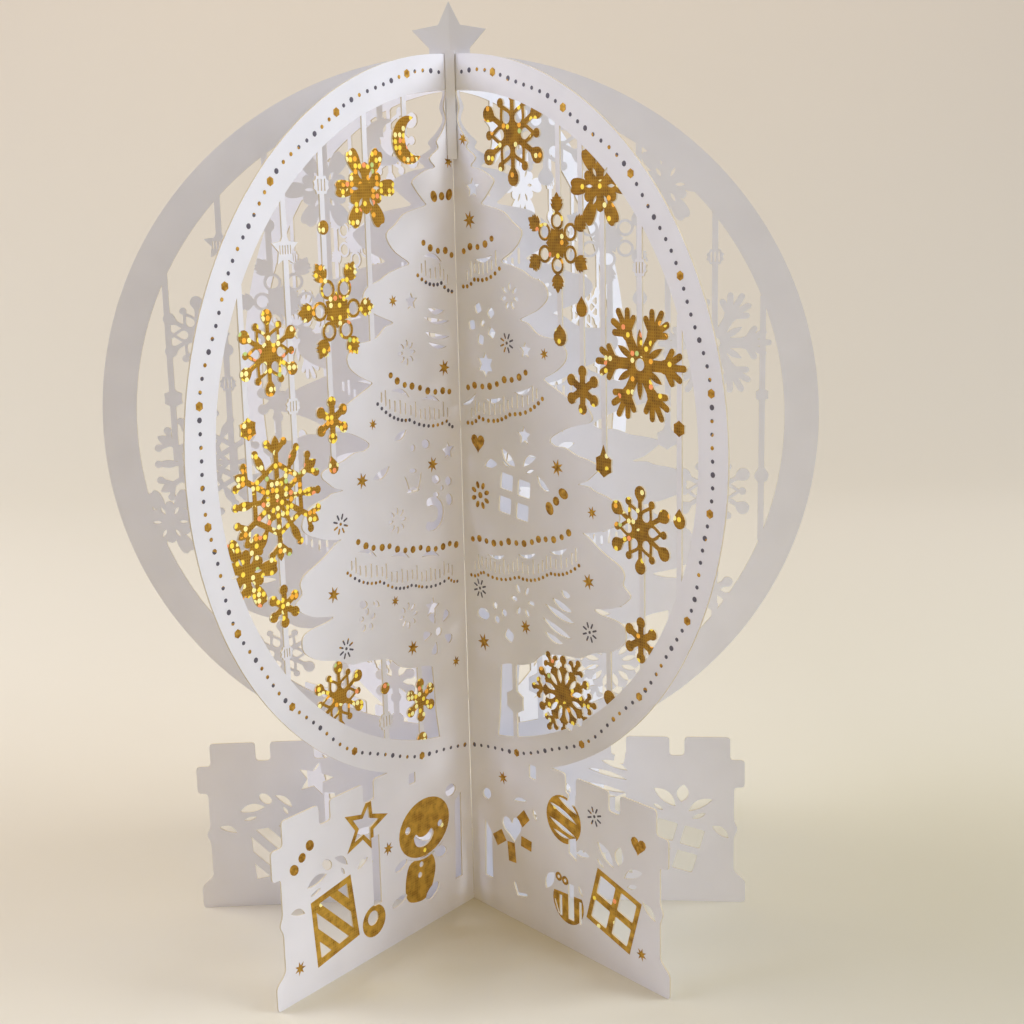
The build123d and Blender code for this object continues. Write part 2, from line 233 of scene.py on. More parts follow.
def stripes(field, middle, tilt, pitch, width, count, shift=0.0):
    """Slanting bands inside a convex field."""
    normal = (-sin(radians(tilt)), cos(radians(tilt)))
    bands = []
    for k in range(count):
        offset = (k - (count - 1) / 2) * pitch + shift
        low = (middle[0] + normal[0] * (offset - width / 2), middle[1] + normal[1] * (offset - width / 2))
        high = (middle[0] + normal[0] * (offset + width / 2), middle[1] + normal[1] * (offset + width / 2))
        band = clipped(clipped(field, low, normal), high, (-normal[0], -normal[1]))
        if len(band) > 2:
            bands.append(band)
    return bands


class Leaf:
    """One half of the pattern: outlines of card, cut-outs, gold fields, gold dots and specks, some specks
    painted dark as shade.
    """

    def __init__(self):
        self.card = []
        self.holes = []
        self.gold = []
        self.dots = []
        self.specks = []

    def gilt(self, *outlines):
        self.card += outlines
        self.gold += outlines


# Hanging motifs
def chunky_flake(leaf, u, z, radius, first=0):
    """Thick six-armed flake with blunt, notched ends."""
    arm = ((0.0, 0.1), (0.4, 0.105), (0.56, 0.17), (0.74, 0.2), (0.9, 0.19), (1.0, 0.1), (0.94, 0.0))
    half = [(share * radius, wide * radius) for share, wide in arm]
    outline = [(x, -y) for x, y in half] + half[-2::-1]
    leaf.gilt(disc(u, z, 0.36 * radius, 18))
    for k in range(6):
        a = first + 60 * k
        leaf.gilt(turned(rounded(outline[1:-1], 0.07 * radius, 2), u, z, a))
        leaf.gilt(panel(*polar(u, z, 0.3 * radius, a), 0.6 * radius, 0.2 * radius, a))
        leaf.gilt(rod((u, z), polar(u, z, 0.46 * radius, a + 30), 0.26 * radius))
        leaf.holes.append(blade(*polar(u, z, 0.36 * radius, a), 0.24 * radius, 0.08 * radius, a))


def spear_flake(leaf, u, z, radius, first=0):
    """Flake whose arms open into a loop and end in a barbed spear."""
    r = radius
    leaf.gilt(star(u, z, 0.34 * r, 0.8, 12, first + 30))
    for k in range(6):
        a = first + 60 * k
        loop = polar(u, z, 0.44 * r, a)
        leaf.gilt(oval(*loop, 0.185 * r, 0.18 * r, a, 18))
        leaf.holes.append(oval(*loop, 0.125 * r, 0.125 * r, a, 14))
        leaf.gilt(rod(polar(u, z, 0.6 * r, a), polar(u, z, 0.9 * r, a), 0.1 * r))
        leaf.gilt(blade(*polar(u, z, 0.87 * r, a), 0.26 * r, 0.15 * r, a))
        for side in (-1, 1):
            for share, reach in ((0.63, 0.2), (0.72, 0.19), (0.8, 0.14)):
                root = polar(u, z, share * r, a)
                slant = a + side * 50
                leaf.gilt(blade(*polar(*root, reach * r / 2, slant), 1.35 * reach * r, 0.1 * r, slant))


def ball_flake(leaf, u, z, radius, first=30):
    """Flake with ball ends, and drop-shaped holes round its middle."""
    r = radius
    leaf.gilt(disc(u, z, 0.23 * r, 14))
    for k in range(6):
        a = first + 60 * k
        leaf.gilt(rod((u, z), polar(u, z, 0.84 * r, a), 0.115 * r))
        leaf.gilt(drop(*polar(u, z, 0.85 * r, a), 0.165 * r, 0.27 * r, a + 180))
        side = a + 30
        leaf.gilt(drop(*polar(u, z, 0.38 * r, side), 0.185 * r, 0.33 * r, side))
        leaf.holes.append(drop(*polar(u, z, 0.37 * r, side), 0.115 * r, 0.2 * r, side))
        leaf.gilt(rod(polar(u, z, 0.55 * r, side), polar(u, z, 0.7 * r, side), 0.1 * r))
        leaf.gilt(disc(*polar(u, z, 0.72 * r, side), 0.095 * r, 12))


def branched_flake(leaf, u, z, radius, first=90):
    """Open flake with rings of struts, crowned arms and budded arms between them."""
    r = radius
    leaf.gilt(disc(u, z, 0.15 * r, 14))
    for k in range(6):
        a = first + 60 * k
        side = a + 30
        leaf.gilt(rod((u, z), polar(u, z, 0.94 * r, a), 0.1 * r))
        leaf.gilt(rod((u, z), polar(u, z, 0.9 * r, side), 0.085 * r))
        leaf.gilt(blade(*polar(u, z, 0.72 * r, side), 0.42 * r, 0.15 * r, side))
        leaf.gilt(disc(*polar(u, z, 0.9 * r, side), 0.07 * r, 10))
        for next_arm in (a, a + 60):
            leaf.gilt(rod(polar(u, z, 0.58 * r, next_arm), polar(u, z, 0.5 * r, side), 0.09 * r))
            leaf.gilt(rod(polar(u, z, 0.26 * r, next_arm), polar(u, z, 0.36 * r, side), 0.08 * r))
        crown = polar(u, z, 0.76 * r, a)
        for turn in (-50, 50):
            leaf.gilt(rod(crown, polar(*crown, 0.25 * r, a + turn), 0.095 * r))
            leaf.gilt(disc(*polar(*crown, 0.24 * r, a + turn), 0.07 * r, 10))
        leaf.gilt(blade(*polar(u, z, 0.88 * r, a), 0.3 * r, 0.17 * r, a))


def crowned_flake(leaf, u, z, radius, first=0):
    """Flake with a pierced rosette and three-lobed crowns."""
    r = radius
    leaf.gilt(disc(u, z, 0.68 * r, 36))
    for k in range(12):
        a = first + 15 + 30 * k
        leaf.holes.append(blade(*polar(u, z, 0.46 * r, a), 0.36 * r, 0.13 * r, a))
        rim = polar(u, z, 0.72 * r, a)
        leaf.holes.append(disc(*rim, 0.1 * r, 10))
    for k in range(6):
        a = first + 60 * k
        root = polar(u, z, 0.74 * r, a)
        leaf.gilt(rod(polar(u, z, 0.5 * r, a), polar(u, z, 0.94 * r, a), 0.09 * r))
        for turn in (-62, 0, 62):
            lobe = polar(*root, (0.2 if turn else 0.26) * r, a + turn)
            leaf.gilt(rod(root, lobe, 0.1 * r))
            leaf.gilt(disc(*lobe, 0.08 * r, 10))
        leaf.gilt(rod(polar(u, z, 0.5 * r, a + 30), polar(u, z, 0.84 * r, a + 30), 0.08 * r))
        leaf.gilt(disc(*polar(u, z, 0.84 * r, a + 30), 0.105 * r, 10))


def forked_flake(leaf, u, z, radius, first=0):
    """Flake with fingered arms, slim spikes between them and a round hole in its middle."""
    r = radius
    leaf.gilt(disc(u, z, 0.3 * r, 18))
    leaf.holes.append(disc(u, z, 0.105 * r, 14))
    for k in range(6):
        a = first + 60 * k
        palm = polar(u, z, 0.56 * r, a)
        leaf.gilt(rod((u, z), palm, 0.19 * r))
        leaf.gilt(disc(*palm, 0.12 * r, 12))
        for turn, reach in ((-58, 0.3), (-30, 0.38), (0, 0.42), (30, 0.38), (58, 0.3)):
            leaf.gilt(rod(palm, polar(*palm, reach * r, a + turn), 0.115 * r))
        leaf.gilt(blade(*polar(u, z, 0.38 * r, a + 30), 0.4 * r, 0.12 * r, a + 30))


def blossom(leaf, u, z, radius, first=90):
    """Six-petalled flower."""
    for k in range(6):
        a = first + 60 * k
        leaf.gilt(rod(polar(u, z, 0.1 * radius, a), polar(u, z, 0.62 * radius, a), 0.3 * radius))
        leaf.gilt(disc(*polar(u, z, 0.74 * radius, a), 0.24 * radius, 12))
    leaf.gilt(disc(u, z, 0.34 * radius, 12))


def fluted_bead(leaf, u, z, radius, corners=10):
    """White bead with a notched rim and a few slits."""
    leaf.card.append(star(u, z, radius, 0.84, corners))
    for k in (-1, 0, 1):
        shift = 0.42 * radius * k
        half = 0.5 * radius
        leaf.holes.append(rod((u + shift, z - half), (u + shift, z + half), 0.13 * radius, 2))


def thread(leaf, u, low=None, high=None):
    """Upright thread of card, from ring to ring unless an end is given."""
    rise = sqrt(ring_inner ** 2 - u ** 2)
    low = ring_centre - rise - 1 if low is None else low
    high = ring_centre + rise + 1 if high is None else high
    leaf.card.append(bar(u - thread_width / 2, low, u + thread_width / 2, high))


# Small cut and stamped ornaments
def spark(leaf, u, z, radius=1.8):
    leaf.dots.append(star(u, z, radius, 0.42, 7, 80))


def twinkle(leaf, u, z, radius=2.2):
    """Dashes round a dot."""
    leaf.specks.append(disc(u, z, 0.16 * radius, 8))
    for k in range(8):
        a = 45 * k + 20
        leaf.specks.append(rod(polar(u, z, 0.5 * radius, a), polar(u, z, 0.95 * radius, a), 0.18 * radius, 2))


def petal_cuts(leaf, u, z, reach, long_radius, short_radius, count, first=90):
    for k in range(count):
        a = first + 360 * k / count
        leaf.holes.append(oval(*polar(u, z, reach, a), long_radius, short_radius, a, 10))


def hanging_line(knots, sag, pitch):
    """Points at a pitch along a line that sags between its knots."""
    path = []
    for a, b in zip(knots, knots[1:]):
        span = sqrt((b[0] - a[0]) ** 2 + (b[1] - a[1]) ** 2)
        dip = sag * min(1.0, span / 9)
        for k in range(24):
            t = k / 24
            path.append((a[0] + (b[0] - a[0]) * t, a[1] + (b[1] - a[1]) * t - 4 * dip * t * (1 - t)))
    path.append(knots[-1])
    points = [path[0]]
    walked = 0.0
    for a, b in zip(path, path[1:]):
        walked += sqrt((b[0] - a[0]) ** 2 + (b[1] - a[1]) ** 2)
        if walked >= pitch:
            points.append(b)
            walked = 0.0
    return points


def garland(leaf, beads, hem, hem_dots, dot_radius, swags):
    """Row of gold beads over swags, fringe slits and a scalloped hem of small dots."""
    for k, place in enumerate(hanging_line(beads, 0.9, 2.35)):
        leaf.dots.append(disc(*place, 0.82 if k % 2 else 0.66, 10))
    for place in hanging_line(hem, 1.2, 2.8 * dot_radius):
        hem_dots.append(disc(*place, dot_radius, 8))
    for k, (u, z) in enumerate(hanging_line(hem, 1.2, 1.45)[1:-1]):
        length = 1.7 + 0.9 * (k % 3 == 1) + 0.4 * (k % 2)
        leaf.holes.append(rod((u, z + 1.5), (u, z + 1.5 + length), 0.55, 3))
    for u, z, tilt in swags:
        leaf.holes.append(blade(u, z, 6.2, 0.95, tilt, -0.75))


def ring_dots(leaf):
    """Wavering line of dots round the middle of the ring."""
    count = int(pi * ring_middle / dot_pitch)
    for k in range(count):
        angle = 90 - 180 * (k + 1.6) / (count + 1.4)
        waver = 0.7 * sin(k * 0.52) * cos(k * 0.17)
        place = polar(0, ring_centre, ring_middle + waver, angle)
        if k % 9 == 4:
            leaf.dots.append(star(*place, 0.95, 0.86, 6))
        else:
            leaf.specks.append(disc(*place, 0.42 + 0.14 * (k % 5 == 1), 9))


# Main outlines of card
def ring_outlines():
    """Outer and inner half discs of the ring."""
    return [[polar(0, ring_centre, radius, -90 + 180 * k / steps) for k in range(steps + 1)]
            for radius, steps in ((ring_radius, 90), (ring_inner, 84))]


def wall_outline():
    edge = [
        (foot_reach, foot_height), (wall_reach, foot_height + foot_slope), (wall_reach, 16.6),
        (wall_reach + 0.8, 18.2), (wall_reach + 0.8, 19.0), (wall_reach, 20.6), (wall_reach, buttress_bottom),
        (buttress_reach, buttress_bottom), (buttress_reach, buttress_top), (merlon_reach, buttress_top),
        (merlon_reach, merlon_top),
    ]
    for middle in notch_middles:
        edge += [(middle + notch_width / 2, merlon_top), (middle + notch_width / 2, merlon_top - notch_depth),
                 (middle - notch_width / 2, merlon_top - notch_depth), (middle - notch_width / 2, merlon_top)]
    body = rounded([(20, 0), (foot_reach, 0)] + edge + [(20, merlon_top)], 0.9)
    return [(0, 0)] + body[4:-4] + [(0, merlon_top)]


def tree_outline():
    """Half a fir, with its wavy edge eased between the points."""
    edge = [point for tier in tiers for point in tier]
    steps = 3
    eased = smooth(edge, steps)[:-steps]
    tip = [(edge[0][0], tree_top), (0, tree_top)]
    return [(0, trunk_foot), (trunk_reach, trunk_foot)] + eased[::-1] + tip


def star_outline():
    neck_low = (star_neck[0], ring_top - 4)
    return [(0, neck_low[1]), neck_low, star_neck, star_arm, star_crotch, star_tip]


def spine_slits():
    lows = [place + bridge_length / 2 for place in bridge_places]
    highs = [place - bridge_length / 2 for place in bridge_places[1:]] + [ring_top - tongue_length]
    return [bar(-1, low, slit_width / 2, high) for low, high in zip(lows, highs)]


# The two halves of the pattern
def left_hangings(leaf):
    for u, low, high in ((15.6, 179, None), (28, 120, None), (41, 112, None), (51.7, 104, None),
                         (64.2, 109, None), (57, None, 106), (28.5, None, 70), (17, None, 66)):
        thread(leaf, u, low, high)
    moon = [polar(14.6, 177.9, 5.0, -138 + 13 * k) for k in range(20)]
    leaf.gilt(moon + [polar(11.9, 178.6, 3.9, 70 - 12 * k) for k in range(15)])
    chunky_flake(leaf, 28.3, 168.2, 8.9)
    spear_flake(leaf, 38.2, 144.2, 11.0)
    ball_flake(leaf, 57.6, 137.3, 8.4)
    branched_flake(leaf, 57.2, 108.4, 12.3)
    chunky_flake(leaf, 66.5, 95.0, 8.3)
    ball_flake(leaf, 42.7, 62.9, 7.9)
    blossom(leaf, 41, 122.0, 5.0)
    blossom(leaf, 57, 86.3, 4.6)
    blossom(leaf, 17, 55.0, 5.2)
    leaf.gilt(disc(41, 160.7, 1.45), disc(28.5, 61.0, 1.35), disc(17, 45.7, 1.7))
    leaf.gilt(star(64, 123.2, 2.3, 0.8, 6), drop(41.2, 112.2, 1.4, 2.6, 75))
    fluted_bead(leaf, 41, 169.0, 2.2)
    fluted_bead(leaf, 51.7, 126.2, 1.9)
    fluted_bead(leaf, 57, 76.5, 1.7)
    fluted_bead(leaf, 28.5, 53.4, 2.2)
    leaf.card.append(star(51.7, 157.0, 3.6, 0.5, 5))
    for shift in (-1.4, -0.7, 0, 0.7, 1.4):
        leaf.holes.append(rod((51.7 + shift, 156.0), (51.7 + shift, 157.6), 0.25, 2))


def right_hangings(leaf):
    for u, low, high in ((34, 138, None), (40.5, 127, None), (46.7, 112, 168), (57, 133, None),
                         (67.5, None, None), (57.3, None, 100), (47.5, None, 74), (17, None, 66)):
        thread(leaf, u, low, high)
    ball_flake(leaf, 20.3, 178.5, 10.4)
    chunky_flake(leaf, 46.3, 167.6, 8.6)
    spear_flake(leaf, 33.6, 156.4, 10.2, 90)
    forked_flake(leaf, 57, 133.2, 12.0)
    ball_flake(leaf, 56.9, 99.9, 9.0)
    crowned_flake(leaf, 33.4, 59.4, 9.6)
    blossom(leaf, 40.6, 126.8, 5.2)
    blossom(leaf, 57.0, 77.0, 5.0)
    leaf.gilt(drop(34, 137.3, 1.95, 2.6), drop(40.6, 143.3, 1.6, 2.6), star(46.6, 112.0, 2.6, 0.82, 6))
    leaf.gilt(drop(46.6, 113.0, 1.3, 3.2), star(67.5, 121.6, 1.6, 0.84, 6), drop(67.6, 103.4, 1.6, 2.5))
    leaf.gilt(drop(47.7, 62.4, 1.7, 2.3, 270))
    fluted_bead(leaf, 57, 152.0, 2.0)
    leaf.card.append(star(17, 54.0, 3.1, 0.84, 6))


def left_tree(leaf):
    garland(leaf, ((10.9, 156.5), (3.4, 154.6), (1.2, 153.4)), ((13.1, 149.7), (5.4, 147.6), (1.2, 145.5)),
            leaf.specks, 0.45, ((8.0, 152.9, -166),))
    garland(leaf, ((22.9, 129.2), (14.9, 126.1), (4.8, 124.1), (2.2, 123.2)),
            ((27.3, 123.6), (17.4, 118.9), (5.0, 117.0), (2.0, 115.3)), leaf.specks, 0.42,
            ((20.0, 124.8, -160), (10.2, 122.2, -170)))
    garland(leaf, ((35.0, 95.2), (25.8, 92.6), (15.7, 90.2), (5.5, 89.1), (2.8, 88.3)),
            ((38.6, 89.2), (28.4, 85.2), (18.3, 82.2), (6.0, 81.0), (2.6, 79.7)), leaf.specks, 0.38,
            ((32.4, 91.9, -160), (22.0, 89.2, -166), (12.0, 87.3, -172)))
    for u, z, radius in ((1.8, 173.5, 1.4), (5.3, 129, 1.9), (33, 108, 1.8), (10.3, 108, 1.8),
                         (43, 85.5, 1.8), (19, 67.8, 1.8), (21.3, 144.8, 1.3), (29, 119.5, 1.2),
                         (24.2, 79.8, 1.2), (4.3, 60.8, 1.3)):
        spark(leaf, u, z, radius)
    twinkle(leaf, 40, 100)
    twinkle(leaf, 40, 73)
    leaf.dots += [oval(7.0, 166.2, 1.3, 1.0, 60), disc(4.4, 166.2, 0.9, 10), oval(1.9, 166.5, 1.3, 1.0, 120)]
    for z, length, width, tilt in ((142.0, 5.6, 1.3, -172), (139.9, 8.6, 1.2, -170), (136.6, 8.4, 1.2, -168),
                                   (134.4, 6.4, 1.0, -166)):
        leaf.holes.append(blade(7.3, z, length, width, tilt, 0.5))
    leaf.holes += [star(15.5, 144.3, 2.0, 0.48), star(4.8, 110.3, 2.1, 0.5)]
    leaf.holes.append(star(12, 75.5, 2.5, 0.48, 5, 100))
    petal_cuts(leaf, 17.5, 133.5, 2.0, 0.8, 0.42, 8)
    petal_cuts(leaf, 22.5, 97.5, 2.1, 0.8, 0.42, 8)
    petal_cuts(leaf, 20.0, 75.5, 2.2, 0.85, 0.45, 8)
    petal_cuts(leaf, 33.2, 77.6, 1.9, 0.8, 0.62, 5, 20)
    leaf.holes += [blade(20.6, 116.0, 4.6, 1.7, 158, 0.2), oval(12.3, 112.9, 1.4, 1.0, 200)]
    leaf.holes += [disc(16.6, 112.6, 0.8, 10), blade(27.0, 108.8, 5.8, 1.9, 160, 0.4)]
    leaf.holes += [blade(18.9, 104.8, 4.6, 0.8, 70), blade(14.9, 104.8, 4.6, 0.8, -70)]
    leaf.holes += [blade(17.0, 103.0, 4.4, 1.2, 0, 0.4), oval(16.8, 107.6, 1.2, 0.5, 10)]
    leaf.holes += [oval(9.3, 104.5, 1.5, 1.0, 200), oval(9.4, 101.0, 1.1, 0.6, 10), disc(7.3, 102.2, 0.6, 10)]
    leaf.holes += [oval(5.0, 103.4, 1.2, 1.0, 30), oval(4.9, 99.2, 1.5, 1.1, 60)]
    leaf.holes.append(arc_band(10.8, 96.9, 2.9, 2.0, 70, 300))
    leaf.holes += [oval(34.2, 81.3, 1.3, 0.9, 20), blade(30.2, 80.6, 2.6, 1.3, 40)]
    leaf.holes.append(disc(10.0, 69.4, 1.05, 12))
    for angle in (0, 62, 130, 215, 290):
        petal = polar(10.0, 69.4, 3.9, angle)
        leaf.holes.append(smooth(turned([(-1.5, 0), (0.9, -1.1), (1.5, 0), (0.9, 1.1)], *petal, angle), 3))


def right_tree(leaf):
    garland(leaf, ((3.2, 154.3), (5.4, 155.3), (13.1, 157.3)), ((2.7, 146.6), (6.8, 148.4), (15.5, 151.1)),
            leaf.dots, 0.48, ((9.8, 153.2, 10),))
    garland(leaf, ((3.4, 124.3), (5.9, 125.1), (15.9, 127.0), (24.4, 130.1)),
            ((3.0, 116.3), (7.0, 117.9), (18.0, 119.8), (28.2, 123.9)), leaf.dots, 0.5,
            ((12.0, 122.7, 8), (22.0, 125.5, 18), (3.4, 121.8, 30)))
    garland(leaf, ((3.6, 89.6), (6.3, 90.3), (16.6, 91.2), (27.0, 93.6), (35.8, 96.1)),
            ((2.7, 81.0), (6.7, 82.5), (19.0, 83.5), (29.6, 86.2), (39.7, 90.2)), leaf.dots, 0.42,
            ((11.6, 87.3, 6), (22.2, 89.3, 12), (32.4, 91.9, 18)))
    for u, z, radius in ((4.0, 178.2, 1.5), (5.4, 161, 2.0), (32.5, 109.7, 1.9), (43, 101.5, 1.4),
                         (41.7, 86.5, 1.8), (21.3, 72.4, 1.7), (6.6, 65.8, 2.1), (29, 133.4, 1.3)):
        spark(leaf, u, z, radius)
    for u, z in ((17, 135), (5.7, 78.4), (41.9, 75.5)):
        twinkle(leaf, u, z)
    leaf.dots.append(heart(6.3, 112.2, 2.3))
    leaf.dots.append(disc(6.7, 100.2, 0.75, 10))
    for k in range(8):
        a = 20 + 45 * k
        leaf.dots.append(oval(*polar(6.7, 100.2, 2.4, a), 0.85, 0.55, a, 10))
    leaf.dots += [oval(29.9, 100.5, 1.5, 1.15, 120), disc(32.0, 102.4, 1.0, 12)]
    leaf.dots.append(oval(34.3, 104.3, 1.5, 1.1, -20))
    leaf.holes += [star(6.7, 167.8, 2.3, 0.5), star(23, 133.8, 1.9, 0.48), star(22, 115.3, 2.2, 0.5)]
    leaf.holes.append(star(9.6, 129.8, 2.8, 0.58, 6))
    petal_cuts(leaf, 18.3, 145.0, 2.1, 0.85, 0.48, 7)
    petal_cuts(leaf, 20.5, 78.2, 2.9, 1.05, 0.55, 6, 60)
    leaf.holes.append(disc(9.0, 138.8, 0.75, 10))
    for u, z in ((7.5, 142.1), (11.8, 141.2), (5.3, 138.3), (12.0, 136.9), (8.2, 135.2)):
        leaf.holes.append(panel(u, z, 2.1, 2.0, degrees(atan2(z - 138.8, u - 9.0)), 0.6))
    leaf.holes.append(blade(33.6, 115.4, 7.0, 2.2, 10, 0.5))
    for u, z in ((15.9, 104.4), (21.6, 103.6), (15.1, 99.1), (20.9, 98.3)):
        leaf.holes.append(panel(u, z, 4.1, 3.7, -6, 0.5))
    leaf.holes += [blade(16.7, 110.0, 5.8, 2.3, 142, 0.4), blade(23.6, 109.8, 5.2, 1.8, 30, 0.5)]
    leaf.holes += [blade(15.7, 108.3, 2.6, 0.6, 155), blade(23.6, 107.7, 3.0, 0.7, 20)]
    leaf.holes += [blade(10.6, 107.5, 4.6, 2.0, 12, 0.4), blade(28.0, 105.6, 5.0, 1.6, 142, 0.4)]
    for u, z, length, width, tilt in ((34.6, 82.6, 3.0, 1.6, -15), (33.4, 79.8, 6.6, 1.7, -18),
                                      (32.6, 77.7, 9.8, 1.6, -16), (31.7, 74.3, 9.8, 1.6, -18),
                                      (30.6, 71.9, 6.0, 1.5, -16)):
        leaf.holes.append(blade(u, z, length, width, tilt, -0.3))
    leaf.holes += [disc(11.4, 72.1, 0.9, 10), disc(14.0, 74.2, 0.9, 10), disc(10.9, 75.3, 0.8, 10)]
    leaf.holes += [oval(6.6, 72.5, 2.2, 1.4, 5), panel(15.6, 69.2, 2.9, 2.6, -30, 0.9)]


def left_base(leaf):
    gift = [(40.0, 7.2), (53.0, 5.0), (54.2, 20.4), (42.0, 22.3)]
    field = [(41.7, 8.6), (51.9, 6.8), (52.8, 19.2), (43.2, 20.7)]
    leaf.gold.append(gift)
    leaf.holes += stripes(field, (47.4, 13.8), 45, 4.5, 2.5, 4)
    leaf.holes += [blade(52.0, 24.6, 6.0, 2.0, -10, 0.4), oval(48.8, 27.2, 1.7, 1.1, 40)]
    leaf.holes += [blade(44.6, 26.4, 5.0, 1.5, 38, 0.4), blade(52.6, 22.3, 3.2, 0.8, -15)]
    leaf.holes += [blade(58.0, 19.6, 4.4, 1.5, 20, 0.4), blade(44.2, 24.0, 2.2, 0.8, 60)]
    leaf.gold.append(star(36.8, 31.8, 7.4, 0.42, 5, 178))
    leaf.holes.append(star(36.8, 31.8, 4.4, 0.45, 5, 178))
    leaf.holes.append(bar(32.4, 11.9, 35.0, 28.2))
    leaf.gold.append(disc(35.2, 8.5, 3.7, 24))
    leaf.holes.append(disc(35.5, 9.3, 1.7, 16))
    leaf.gold.append(oval(17.3, 24.4, 8.7, 6.9, 0, 32))
    leaf.holes += [disc(23.0, 25.5, 0.9, 12), disc(11.9, 23.5, 0.85, 12)]
    leaf.holes.append(smooth([(21.1, 22.9), (20.2, 23.6), (19.3, 22.7), (17.7, 22.3), (16.1, 22.7),
                              (15.0, 23.4), (14.2, 22.1), (15.5, 20.4), (17.8, 19.8), (20.2, 20.7)], 3))
    leaf.holes.append(blade(17.3, 18.9, 13.5, 0.5, 0, -1.9))
    leaf.gold.append(smooth([(23.0, 16.9), (19, 17.4), (15.2, 17.0), (14.0, 13.5), (15.4, 9.2), (17.0, 7.3),
                             (20.0, 7.0), (23.6, 8.4), (24.5, 12.0)], 4))
    leaf.holes += [disc(18.8, 15.8, 0.7, 10), disc(19.4, 13.4, 0.7, 10)]
    leaf.holes += [oval(25.6, 18.0, 2.2, 1.0, -15), oval(11.9, 16.4, 2.3, 1.4, 20)]
    leaf.holes += [oval(26.6, 9.8, 2.6, 1.0, -10), oval(15.2, 7.7, 2.7, 1.5, -28)]
    leaf.holes.append([(4.3, 7.4), (6.9, 7.4), (6.3, 27.0), (4.0, 28.6)])
    leaf.holes += [oval(7.7, 30.2, 1.9, 1.5, 10), blade(38.0, 23.3, 3.8, 1.5, -25, 0.3)]
    leaf.holes.append(panel(20.9, 37.5, 2.3, 2.6, 0, 0.4))
    leaf.dots += [oval(53.6, 33.4, 1.3, 1.1, 50), disc(56.0, 31.5, 1.05, 12), oval(58.4, 29.6, 1.4, 1.1, 45)]
    spark(leaf, 29.7, 23.7, 1.6)
    spark(leaf, 58.2, 7.2, 1.6)


def right_base(leaf):
    tilt = -16
    middle = (48.4, 14.2)
    leaf.gold.append(panel(*middle, 13.9, 13.5, tilt))
    for u, z in ((-3.3, 3.2), (3.3, 3.2), (-3.3, -3.2), (3.3, -3.2)):
        place = turned([(u, z)], *middle, tilt)[0]
        leaf.holes.append(panel(*place, 4.9, 4.7, tilt, 0.4))
    leaf.holes += [blade(46.0, 26.4, 6.8, 2.5, -42, 0.3), blade(50.2, 27.4, 4.4, 2.8, 82)]
    leaf.holes += [blade(54.4, 24.4, 6.4, 2.0, 28, 0.4), blade(44.5, 23.9, 2.7, 0.9, -35)]
    leaf.holes += [blade(54.0, 21.7, 3.4, 1.1, 22), blade(59.0, 17.8, 5.0, 1.9, -38, 0.3)]
    leaf.gold.append(disc(32.8, 30.4, 5.6, 32))
    leaf.holes += [blade(34.2, 34.1, 6.6, 1.5, -22, 0.3), blade(32.6, 31.9, 9.6, 1.2, -17, 0.2),
                   blade(32.4, 28.6, 9.2, 1.1, -16, -0.2), blade(32.0, 26.9, 5.8, 0.8, -10, -0.3)]
    leaf.holes.append([(34.3, 23.0), (36.8, 21.7), (36.8, 27.2), (34.3, 26.2)])
    leaf.holes.append(panel(35.4, 35.9, 2.4, 2.6, -10, 0.5))
    leaf.holes.append(heart(15.1, 22.8, 3.5, 12))
    for u, z, width, height, turn in ((19.1, 26.3, 3.6, 2.7, 45), (20.0, 20.4, 3.6, 2.5, -5),
                                      (14.8, 16.7, 2.6, 4.8, 5), (10.5, 19.0, 3.9, 2.9, 35)):
        leaf.gold.append(panel(u, z, width, height, turn))
    leaf.holes += [blade(18.0, 30.3, 5.0, 1.0, 12, 0.3), blade(23.1, 28.4, 2.8, 1.2, -65)]
    leaf.holes.append(oval(6.2, 28.6, 1.6, 1.3, 30))
    leaf.holes.append([(4.8, 7.6), (7.7, 7.6), (7.7, 19.2), (5.3, 22.0)])
    ball = disc(34.0, 10.8, 5.0, 32)
    leaf.gold.append(clipped(ball, (34.0, 12.9), (0.06, -1)))
    for u, width, top in ((31.5, 0.9, 12.0), (34.9, 1.9, 15.6), (37.9, 0.8, 12.4)):
        leaf.holes.append(bar(u - width / 2, 7.0, u + width / 2, top))
    leaf.holes += [blade(28.0, 14.2, 5.6, 2.6, 58, 0.3), blade(38.0, 15.0, 2.6, 0.9, -60)]
    leaf.holes.append(rod((29.6, 10.2), (30.8, 7.4), 0.5))
    for u, z in ((30.9, 16.2), (33.0, 15.9)):
        leaf.dots.append(disc(u, z, 1.05, 14))
        leaf.holes.append(disc(u, z, 0.45, 8))
    leaf.holes += [blade(38.8, 23.9, 4.6, 1.7, 8, 0.3), panel(22.6, 38.6, 2.4, 3.3, 0, 0.5)]
    leaf.holes += [rod((15.6, 9.2), (16.7, 6.8), 0.8), rod((16.7, 6.8), (19.6, 7.5), 0.8)]
    leaf.dots.append(heart(56.0, 31.8, 2.2, -4))
    twinkle(leaf, 42.7, 34.2, 2.2)
    spark(leaf, 12.2, 34.3, 1.6)
    spark(leaf, 56.8, 7.2, 1.5)


def half_pattern(*draws):
    leaf = Leaf()
    leaf.card += [wall_outline(), tree_outline()]
    leaf.holes += spine_slits()
    for draw in draws:
        draw(leaf)
    ring_dots(leaf)
    return leaf


# From outlines to sheets of card and foil
def wound(points):
    """Points in anticlockwise order."""
    turn = sum(a[0] * b[1] - b[0] * a[1] for a, b in zip(points, points[1:] + points[:1]))
    return points if turn > 0 else points[::-1]


